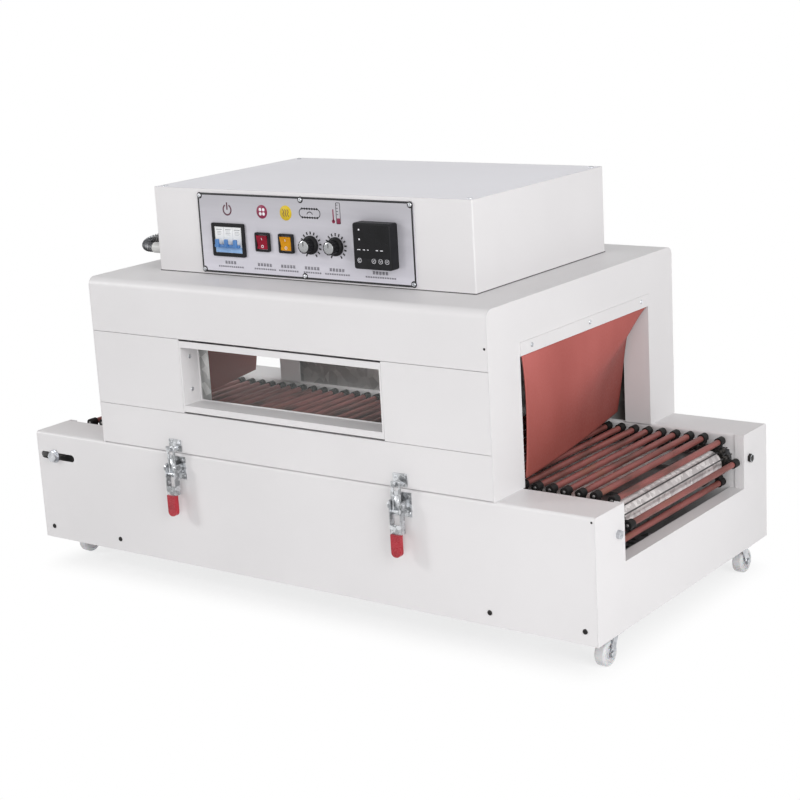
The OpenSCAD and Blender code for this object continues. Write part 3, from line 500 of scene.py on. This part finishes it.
def plaque(x, z, width, height, corner, face, lift, edge=0.0002):
    """A thin plate on the panel: its outline carried up, stepped in by its edge and drawn to the
    middle."""
    steps = [(0, 0.00005), (0, -(lift - edge)), (edge, -lift)]
    rings = [np.insert(outline(x, z, width - 2 * i, height - 2 * i, max(corner - i, 1e-5)), 1,
                       face + h, axis=1) for i, h in steps]
    rings.append(np.broadcast_to([x, face - lift, z], rings[0].shape))
    return np.concatenate(rings), mesh_of(4, len(rings[0]))


def arc(x, z, radius, start, stop, count=24):
    """Points on an arc from start to stop, in degrees from +x towards +z."""
    t = np.radians(np.linspace(start, stop, count))
    return np.stack([x + radius * np.cos(t), z + radius * np.sin(t)], -1)


panel_sheet = coat("satin_panel", [(212, 210, 219), (222, 220, 229)], 5.0, 1200.0, (0.3, 0.42),
                   0.00001, metallic=0.25, stretch=(1, 1, 12))
dress(panel_sheet, "control_panel")
panel_lo, panel_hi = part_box("control_panel")
face = panel_lo.y
px, pz = (panel_lo.x + panel_hi.x) / 2, (panel_lo.z + panel_hi.z) / 2
wide, high = panel_hi.x - panel_lo.x, panel_hi.z - panel_lo.z
# Painted reflection: the plate is made darker towards its top, for the dark that its satin face
# reflects there.
darkened_along(panel_sheet, panel_hi.z, panel_lo.z, (208, 208, 206))
ink = coat("black_ink", [(18, 18, 20), (30, 30, 32)], 200.0, 900.0, (0.5, 0.65), 0.00001)
crimson = coat("crimson_ink", [(118, 20, 58), (140, 28, 68)], 200.0, 900.0, (0.45, 0.6), 0.00001)
maroon = coat("maroon_ink", [(72, 34, 48), (92, 42, 58)], 200.0, 900.0, (0.45, 0.6), 0.00001)
yellow = coat("yellow_ink", [(198, 168, 8), (212, 184, 18)], 200.0, 900.0, (0.45, 0.6), 0.00001)
pale = coat("pale_ink", [(226, 225, 230), (232, 231, 236)], 200.0, 900.0, (0.45, 0.6), 0.00001)
sign_z = pz + 0.0405
thin = 0.00012
knobs = [((lo.x + hi.x) / 2, (lo.z + hi.z) / 2) for lo, hi in (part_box("speed_knob"),
                                                               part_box("heat_knob"))]
ticks = [stroke([(x + r * np.cos(a), z + r * np.sin(a)) for r in (0.0168, 0.0215)], 0.0026, face,
                thin) for x, z in knobs for a in np.radians(np.linspace(-60, 240, 15))]
belt_x = px + 0.0175
lines = [stroke(outline(px, pz, wide - 0.0034, high - 0.0034, 0.003), 0.0032, face, thin, True),
         stroke(outline(belt_x, sign_z, 0.042, 0.014, 0.007, 8), 0.0014, face, thin, True),
         stroke(arc(belt_x, sign_z - 0.004, 0.006, 20, 160), 0.0014, face, thin)]
lines += [plaque(belt_x + k * 0.005, sign_z + s * 0.007, 0.0036, 0.0036, 0.0017, face, thin,
                 0.00005) for k in range(-3, 4) for s in (-1, 1)]
tall = px + 0.0745
lines += [stroke(outline(tall, sign_z + 0.002, 0.0078, 0.033, 0.0012), 0.0010, face, thin, True)]
lines += [stroke([(tall - 0.003, sign_z + h), (tall, sign_z + h)], 0.0009, face, thin)
          for h in (0.0, 0.005, 0.010, 0.015)]
piece("panel_border_and_marks", joined(*lines, *ticks), ink, "machine",
      smooth=False)
power_x = px - 0.155
piece("panel_power_sign", joined(
    stroke(arc(power_x, sign_z - 0.001, 0.0083, 118, 422, 40), 0.0026, face, thin),
    stroke([(power_x, sign_z - 0.001), (power_x, sign_z + 0.011)], 0.0026, face, thin)),
    maroon, "machine", smooth=False)
fan_x, wave_x, round_z = px - 0.081, px - 0.0315, sign_z - 0.0015
red = [plaque(fan_x, round_z, 0.0225, 0.0225, 0.01124, face, thin, 0.00005),
       plaque(px + 0.0645, sign_z - 0.011, 0.0064, 0.0064, 0.0032, face, thin, 0.00005),
       stroke([(px + 0.0645, sign_z - 0.011), (px + 0.0645, sign_z + 0.008)], 0.0022, face, thin),
       plaque(tall, sign_z - 0.0100, 0.0070, 0.0085, 0.001, face, 0.0002, 0.00005)]
piece("panel_red_signs", joined(*red), crimson, "machine", smooth=False)
piece("panel_heat_disc", plaque(wave_x, round_z, 0.0245, 0.0245, 0.01224, face, thin, 0.00005),
      yellow, "machine", smooth=False)
over = face - thin
petals = [plaque(fan_x + i * 0.0034, round_z + j * 0.0034, 0.0054, 0.0054, 0.0026, over, 0.00008,
                 0.00004) for i in (-1, 1) for j in (-1, 1)]
piece("panel_fan_blades", joined(*petals), pale, "machine", smooth=False)
rise = np.linspace(-0.006, 0.006, 15)
waves = [stroke(np.stack([wave_x + k + 0.0012 * np.sin(rise * 900), round_z + rise], -1),
                0.0012, over, 0.00008) for k in (-0.0045, 0.0, 0.0045)]
piece("panel_heat_waves", joined(*waves), maroon, "machine", smooth=False)
legend = coat("faded_legend", [(126, 125, 132), (144, 143, 150)], 200.0, 900.0, (0.5, 0.65),
              0.00001)


def dash_row(x, z, count, pitch, length, width):
    """A row of printed dashes a pitch apart, about a place on the panel."""
    starts = x + pitch * (np.arange(count) - count / 2)
    return [stroke([(s, z), (s + length, z)], width, face, thin) for s in starts]


rows = []
for x, upper, lower in ((-0.155, 4, 12), (-0.082, 5, 10), (-0.033, 5, 9), (0.016, 5, 8),
                        (0.066, 5, 11), (0.151, 5, 13)):
    rows += dash_row(px + x, pz - 0.0475, upper, 0.0062, 0.0044, 0.0050)
    rows += dash_row(px + x, pz - 0.0545, lower, 0.0046, 0.0034, 0.0026)
piece("panel_legend_dashes", joined(*rows), legend, "machine", smooth=False)
corners = [(px + i * (wide / 2 - 0.0048), face, pz + j * (high / 2 - 0.0048))
           for i in (-1, 0, 1) for j in (-1, 1)]
box_lo, box_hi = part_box("control_box")
# Painted shadow: a thin dark strip round the foot of the box stands for the shade in the joint
# between box and hood top.
seam_w, seam_t = 0.0014, 0.00015
seam_z, seam_y = box_lo.z + seam_w / 2, (box_lo.y + box_hi.y) / 2
side_shadow_strip = strip(box_hi.y - box_lo.y, seam_w, seam_t)
walls = [set_out(side_shadow_strip, (x, seam_y, seam_z), (s, 0, 0))
         for s, x in ((-1, box_lo.x), (1, box_hi.x))]
front_shadow_strip = stroke([(box_lo.x, seam_z), (box_hi.x, seam_z)], seam_w, box_lo.y, seam_t)
piece("box_foot_painted_shadow", joined(front_shadow_strip, *walls), painted_dark, "machine")
# Each panel screw sits on a dark ring.
screw_ring = turned([(0, 0.0006), (0.0046, 0.0006), (0.0053, 0.0001), (0.0053, -0.0001)], 28)
piece("panel_screw_dark_rings", set_out(screw_ring, corners, (0, -1, 0)), dark_screw, "machine")
piece("panel_screws", set_out(screw(0.0036, 0.0022), corners, (0, -1, 0)), zinc, "machine")

# Main breaker: three white poles side by side in a black frame, blue toggles on one tie bar, a blue
# strip along the foot of the poles.
moulded = coat("black_moulding", [(18, 18, 20), (27, 27, 30)], 60.0, 900.0, (0.4, 0.55), 0.00002,
               Specular_IOR_Level=0.2)
dress(moulded, "breaker_frame", "switch_bezels")
pole = coat("white_moulding", [(228, 229, 230), (236, 237, 238)], 40.0, 900.0, (0.35, 0.5), 0.00002)
dress(pole, "breaker_body")
blue = coat("blue_moulding", [(64, 112, 172), (84, 134, 192)], 60.0, 900.0, (0.25, 0.4), 0.00002)
pole_lo, pole_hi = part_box("breaker_body")
pole_w, pole_h = (pole_hi.x - pole_lo.x) / 3, pole_hi.z - pole_lo.z
pole_x = [pole_lo.x + pole_w * (k + 0.5) for k in range(3)]
lever_lo, lever_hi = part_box("breaker_lever")
lever_y, lever_z = lever_hi.y - 0.003, (lever_lo.z + lever_hi.z) / 2
toggles = [stroke([(x, lever_z - 0.004), (x, lever_z + 0.0095)], 0.0068, lever_y - 0.0015, 0.004)
           for x in pole_x]
tie = stroke([(pole_x[0] - 0.007, lever_z - 0.002), (pole_x[2] + 0.007, lever_z - 0.002)], 0.005,
             lever_y + 0.002, 0.005)
lever = piece("breaker_toggles", joined(tie, *toggles), blue, "breaker_lever")
soft = lever.modifiers.new("round_edges", "BEVEL")
soft.width, soft.segments, soft.limit_method = 0.0009, 2, "ANGLE"
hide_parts("breaker_lever")
pale_blue = coat("pale_blue_moulding", [(122, 162, 210), (146, 182, 222)], 60.0, 900.0, (0.3, 0.45),
                 0.00002)
piece("breaker_foot_strip", plaque((pole_lo.x + pole_hi.x) / 2, pole_lo.z + 0.12 * pole_h,
                                   3 * pole_w - 0.001, 0.22 * pole_h, 0.001, pole_lo.y, 0.0009),
      pale_blue, "machine")
grey_ink = coat("grey_ink", [(150, 152, 156), (172, 174, 178)], 200.0, 900.0, (0.5, 0.65), 0.00001)
rules = [stroke([(x - w, pole_hi.z - h), (x + w, pole_hi.z - h)], t, pole_lo.y, thin)
         for x in pole_x for h, w, t in ((0.0045, 0.006, 0.0014), (0.008, 0.0045, 0.0007),
                                         (0.0105, 0.0052, 0.0007), (0.013, 0.0038, 0.0007))]
piece("breaker_rating_lines", joined(*rules), grey_ink, "machine", smooth=False)

# Rocker switches: lit red and amber caps, each with the standard on and off marks.
red_cap = coat("red_cap", [(128, 12, 36), (152, 20, 48)], 50.0, 700.0, (0.2, 0.32), 0.00001,
               Specular_IOR_Level=0.15)
amber_cap = coat("amber_cap", [(198, 132, 6), (216, 150, 14)], 50.0, 700.0, (0.2, 0.32), 0.00001,
                 Specular_IOR_Level=0.15)
dress(red_cap, "red_rocker")
dress(amber_cap, "amber_rocker")
for name in ("red_rocker", "amber_rocker"):
    lo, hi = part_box(name)
    x, z, half = (lo.x + hi.x) / 2, (lo.z + hi.z) / 2, (hi.z - lo.z) / 2
    piece(name + "_seat", plaque(x, z, hi.x - lo.x, hi.z - lo.z, 0.0008, face, 0.0002), moulded,
          "machine")
    bar = np.linspace(0.0035, 0.0075, 5)
    ring = arc(x, z - 0.62 * half, 0.0021, 0, 360, 22)[:-1]
    front = face - 0.0016
    piece(name + "_marks", joined(
        stroke(np.stack([x + 0 * bar, z + bar], -1), 0.0011,
               (front - 0.0019 - 0.0024 * bar / half)[:, None], 0.00012),
        stroke(ring, 0.0009, front - 0.0016, 0.00035, True)), pale, name,
        smooth=False)

# Knobs: black fluted grips with a spun silver cap and a black pointer line across it.
dress(moulded, "speed_knob", "heat_knob")
spun = coat("spun_cap", [(150, 151, 153), (182, 183, 185)], 25.0, 1600.0, (0.2, 0.34), 0.00001,
            metallic=1.0)
for name, (x, z) in zip(("speed_knob", "heat_knob"), knobs):
    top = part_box(name)[0].y
    cap = turned([(0, 0.0009), (0.003, 0.0009), (0.0065, 0.0008), (0.0088, 0.0006),
                  (0.0094, 0.0002), (0.0094, -0.0002)], 40)
    piece(name + "_cap", set_out(cap, (x, top, z), (0, -1, 0)), spun, name)
    piece(name + "_pointer", stroke([(x, z + 0.001), (x, z + 0.0085)], 0.0014, top - 0.0006,
                                    0.00045), ink, name, smooth=False)

# Temperature controller: a square black case with a smoked display, two lamps, a row of segments
# and four round keys with plain marks.
dress(moulded, "temperature_controller")
meter_lo, meter_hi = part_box("temperature_controller")
mx, mz = (meter_lo.x + meter_hi.x) / 2, (meter_lo.z + meter_hi.z) / 2
glassy = coat("smoked_display", [(14, 14, 16), (22, 22, 25)], 40.0, 600.0, (0.12, 0.2), 0.000002,
              Specular_IOR_Level=0.2)
key_lift, bezel_t, meter_w = 0.0015, 0.0018, 0.072
case_y = meter_lo.y + key_lift
sheen = case_y - bezel_t
piece("meter_bezel", plaque(mx, mz, meter_hi.x - meter_lo.x - 0.0004,
                            meter_hi.z - meter_lo.z - 0.0004, 0.0038, case_y, bezel_t, 0.0008),
      moulded, "machine")
piece("meter_display", plaque(mx, mz + 0.0072, 0.0665, 0.052, 0.002, sheen, 0.00025), glassy,
      "machine")
seen = sheen - 0.00025
dots = [plaque(mx - 0.0235, mz + h, 0.0030, 0.0030, 0.00149, seen, 0.0002, 0.00005)
        for h in (0.0255, 0.0105)]
dashes = [stroke([(mx + x, mz - 0.0055), (mx + x + w, mz - 0.0055)], 0.0014, seen, 0.0002)
          for x, w in ((-0.0285, 0.006), (-0.0175, 0.004), (-0.009, 0.0025), (0.007, 0.0045),
                       (0.0155, 0.005))]
key_z = mz - 0.31 * meter_w
key_x = [mx + k * meter_w for k in (-0.35, 0.03, 0.21, 0.38)]
keys = [stroke(arc(x, key_z, 0.0036, 0, 345, 24), 0.0006, sheen, thin, True) for x in key_x]
keys += [stroke(arc(key_x[0], key_z, 0.0018, 40, 320, 14), 0.0008, sheen, thin),
         stroke([(key_x[1] + 0.0012, key_z - 0.0016), (key_x[1] - 0.0013, key_z),
                 (key_x[1] + 0.0012, key_z + 0.0016)], 0.0008, sheen, thin)]
keys += [stroke([(x - 0.0016, key_z + s * 0.0008), (x, key_z - s * 0.0011),
                 (x + 0.0016, key_z + s * 0.0008)], 0.0008, sheen, thin)
         for x, s in ((key_x[2], 1), (key_x[3], -1))]
piece("meter_lamps_and_marks", joined(*dots, *dashes, *keys), pale, "machine",
      smooth=False)

# Conduit: a corrugated metal hose that loops out of the side wall of the box between two pale
# plastic glands.


def ribbed_loop(start, straight, bend, rise, radius, rib, count):
    """A hose along a half circle with a straight stretch at each end, over its length s and turn t.
    The middle line is start + bend (-sin a, 1 - cos a) with a = s / bend, tilted up by rise; the
    radius swells as radius + rib cos(count s)."""
    s = np.linspace(-straight, np.pi * bend + straight, 340)[:, None]
    t = np.arange(28)[None, :] * np.pi / 14
    a = np.clip(s / bend, 0, np.pi)
    r = radius + rib * np.cos(2 * np.pi * count * s / (np.pi * bend))
    spare = s - a * bend
    x = -bend * np.sin(a) - spare * np.cos(a) - r * np.cos(t) * np.sin(a)
    y = bend * (1 - np.cos(a)) + spare * np.sin(a) - r * np.cos(t) * np.cos(a)
    z = r * np.sin(t) + 0 * s
    tilt = np.radians(rise)
    ring = np.stack([start.x + x, start.y + y * np.cos(tilt) - z * np.sin(tilt),
                     start.z + y * np.sin(tilt) + z * np.cos(tilt)], -1)
    return ring.reshape(-1, 3), mesh_of(len(s), 28)


gland = coat("pale_gland", [(196, 196, 194), (210, 210, 208)], 50.0, 800.0, (0.35, 0.5), 0.00002)
dress(gland, "conduit")
hose = coat("hose_steel", [(60, 61, 63), (92, 93, 96), (122, 123, 126)], 120.0, 900.0,
            (0.28, 0.45), 0.00002, metallic=0.9)
bend = Vector((box_lo.x - 0.0382, box_lo.y + 0.020, box_lo.z + 0.034))
piece("conduit_ribs", ribbed_loop(bend, 0.012, 0.022, 14, 0.0072, 0.0010, 17), hose, "machine")

# Toggle latches: pressed zinc-plated parts, dulled by handling, with a dipped red grip. A plate
# ties the legs of the hook; small screws hold the bracket and the keeper to the panels.
latch_zinc = spangle("dulled_zinc", 160.0, (150, 152, 154), (214, 216, 219), (0.22, 0.42), 0.9)
dress(latch_zinc, "latch_plates", "left_latch_lever", "left_latch_hook", "right_latch_lever",
      "right_latch_hook")
vinyl = coat("dipped_vinyl", [(152, 24, 38), (170, 36, 50)], 60.0, 700.0, (0.22, 0.36), 0.00003)
dress(vinyl, "left_latch_grip", "right_latch_grip")
skin_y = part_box("latch_plates")[1].y - 0.002
for side in ("left", "right"):
    lo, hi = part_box(side + "_latch_hook")
    x, y = (lo.x + hi.x) / 2, (lo.y + hi.y) / 2
    fixings = [(x + i * 0.0152, skin_y, z) for i in (-1, 1) for z in (0.2075, 0.2345)]
    fixings += [(x + i * 0.0085, skin_y, 0.2635) for i in (-1, 1)]
    piece(side + "_latch_screws", set_out(screw(0.0028, 0.0013), fixings, (0, -1, 0)), latch_zinc,
          "machine")
    plate = stroke([(x, lo.z + 0.007), (x, lo.z + 0.030)], 0.0128, y + 0.001, 0.002)
    piece(side + "_hook_plate", plate, latch_zinc, side + "_latch_hook", smooth=False)

# Casters: pressed plated forks under a plate, each with a nylon wheel on a nutted axle.
dress(zinc, "caster_plates")
nylon = coat("grey_nylon", [(196, 196, 198), (210, 210, 212)], 40.0, 800.0, (0.3, 0.45), 0.00002,
             Subsurface_Weight=0.1)
nut = turned([(0, 0.0026), (0.0026, 0.0026), (0.0046, 0.0014), (0.005, 0), (0.005, -0.0004)], 12)
for corner in ("front_left", "front_right", "rear_left", "rear_right"):
    dress(zinc, corner + "_fork")
    dress(nylon, corner + "_wheel")
    lo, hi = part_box(corner + "_wheel")
    middle = (lo + hi) / 2
    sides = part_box(corner + "_fork")
    piece(corner + "_axle_nuts", joined(
        set_out(nut, (sides[0].x, middle.y, middle.z), (-1, 0, 0)),
        set_out(nut, (sides[1].x, middle.y, middle.z), (1, 0, 0))), zinc, corner + "_caster")

# Floor, light and camera: a pale studio floor that fades to the white of the background, a soft
# lamp from the front left, a broad one from the right, a weak one from beside the camera, a small one
# in the chamber, and the view of the photograph.


def disc(radius, rings, sides):
    """A flat round floor: rings of points from the middle outwards."""
    r = np.linspace(0, 1, rings) ** 2 * radius
    return turned(np.stack([r, np.full(rings, -0.0002)], -1), sides)


def seen_straight(nodes, link):
    """The shader value that is 1 for rays from the camera, off a gloss or through glass, else 0."""
    rays = nodes.new("ShaderNodeLightPath")
    first, both = nodes.new("ShaderNodeMath"), nodes.new("ShaderNodeMath")
    first.operation = both.operation = "MAXIMUM"
    link(rays.outputs["Is Camera Ray"], first.inputs[0])
    link(rays.outputs["Is Glossy Ray"], first.inputs[1])
    link(first.outputs[0], both.inputs[0])
    link(rays.outputs["Is Transmission Ray"], both.inputs[1])
    return both.outputs[0]


floor_mat = bpy.data.materials.new("studio_floor")
floor_mat.use_nodes = True
tree = floor_mat.node_tree
make, link = tree.nodes.new, tree.links.new
tree.nodes.remove(tree.nodes["Principled BSDF"])
sheet_white = make("ShaderNodeBsdfDiffuse")
sheet_white.inputs["Color"].default_value = (0.9, 0.9, 0.9, 1)
glow = make("ShaderNodeEmission")
where = make("ShaderNodeTexCoord")
near, beyond, past, far = [make("ShaderNodeVectorMath") for _ in range(4)]
near.operation, beyond.operation = "ABSOLUTE", "SUBTRACT"
past.operation, far.operation = "MAXIMUM", "LENGTH"
footprint = (0.52, 0.24, 1.0)
beyond.inputs[1].default_value = footprint
fade = make("ShaderNodeMapRange")
fade.interpolation_type = "SMOOTHSTEP"
fade.inputs["From Min"].default_value, fade.inputs["From Max"].default_value = 0.0, 0.08
fade.inputs["To Min"].default_value = 0.72
share = make("ShaderNodeMath")
share.operation = "MULTIPLY"
blend = make("ShaderNodeMixShader")
link(where.outputs["Object"], near.inputs[0])
link(near.outputs[0], beyond.inputs[0])
link(beyond.outputs[0], past.inputs[0])
link(past.outputs[0], far.inputs[0])
link(far.outputs["Value"], fade.inputs["Value"])
link(seen_straight(tree.nodes, link), share.inputs[0])
link(fade.outputs["Result"], share.inputs[1])
link(share.outputs[0], blend.inputs["Fac"])
link(sheet_white.outputs[0], blend.inputs[1])
link(glow.outputs[0], blend.inputs[2])
link(blend.outputs[0], tree.nodes["Material Output"].inputs["Surface"])
points, faces = disc(12.0, 24, 64)
floor_mesh = bpy.data.meshes.new("floor")
floor_mesh.from_pydata(points.tolist(), [], faces.tolist())
floor_mesh.materials.append(floor_mat)
floor = bpy.data.objects.new("floor", floor_mesh)
bpy.context.scene.collection.objects.link(floor)

world = bpy.data.worlds.new("studio")
bpy.context.scene.world = world
world.use_nodes = True
tree = world.node_tree
make, link = tree.nodes.new, tree.links.new
air = tree.nodes["Background"]
air.inputs["Color"].default_value = (1, 1, 1, 1)
level = make("ShaderNodeMapRange")
link(seen_straight(tree.nodes, link), level.inputs["Value"])
level.inputs["To Min"].default_value, level.inputs["To Max"].default_value = 0.44, 1.0
link(level.outputs["Result"], air.inputs["Strength"])


def lamp(name, place, aim, size, power):
    """A square soft lamp at a place, turned to its aim."""
    light = bpy.data.lights.new(name, "AREA")
    light.size, light.energy = size, power
    holder = bpy.data.objects.new(name, light)
    holder.location = place
    holder.rotation_euler = (Vector(aim) - Vector(place)).to_track_quat("-Z", "Y").to_euler()
    bpy.context.scene.collection.objects.link(holder)


lamp("key", (-3.2, -2.3, 1.9), (0, 0, 0.3), 0.7, 47)
lamp("fill", (3.4, -1.6, 1.7), (0.2, 0, 0.3), 2.4, 86)
lamp("front", (1.4, -3.0, 0.85), (0.1, 0, 0.35), 0.9, 12)
lamp("chamber", (-0.15, 0.06, lining_hi.z - 0.02), (-0.17, 0.2, 0.30), 0.08, 0.3)

turn, tilt, roll = np.radians([36.7, 14.1, -3.3])
back = Vector((np.sin(turn) * np.cos(tilt), -np.cos(turn) * np.cos(tilt), np.sin(tilt)))
right = Vector((np.cos(turn), np.sin(turn), 0))
up = back.cross(right)
right, up = right * np.cos(roll) + up * np.sin(roll), up * np.cos(roll) - right * np.sin(roll)
lens = bpy.data.cameras.new("view")
lens.lens, lens.sensor_width, lens.sensor_fit = 81.4, 36.0, "AUTO"
camera = bpy.data.objects.new("view", lens)
camera.matrix_world = Matrix.Translation((1.8076, -2.3796, 1.0435)) @ Matrix(
    (right, up, back)).transposed().to_4x4()
bpy.context.scene.collection.objects.link(camera)
bpy.context.scene.camera = camera
bpy.context.scene.view_settings.view_transform = "Standard"
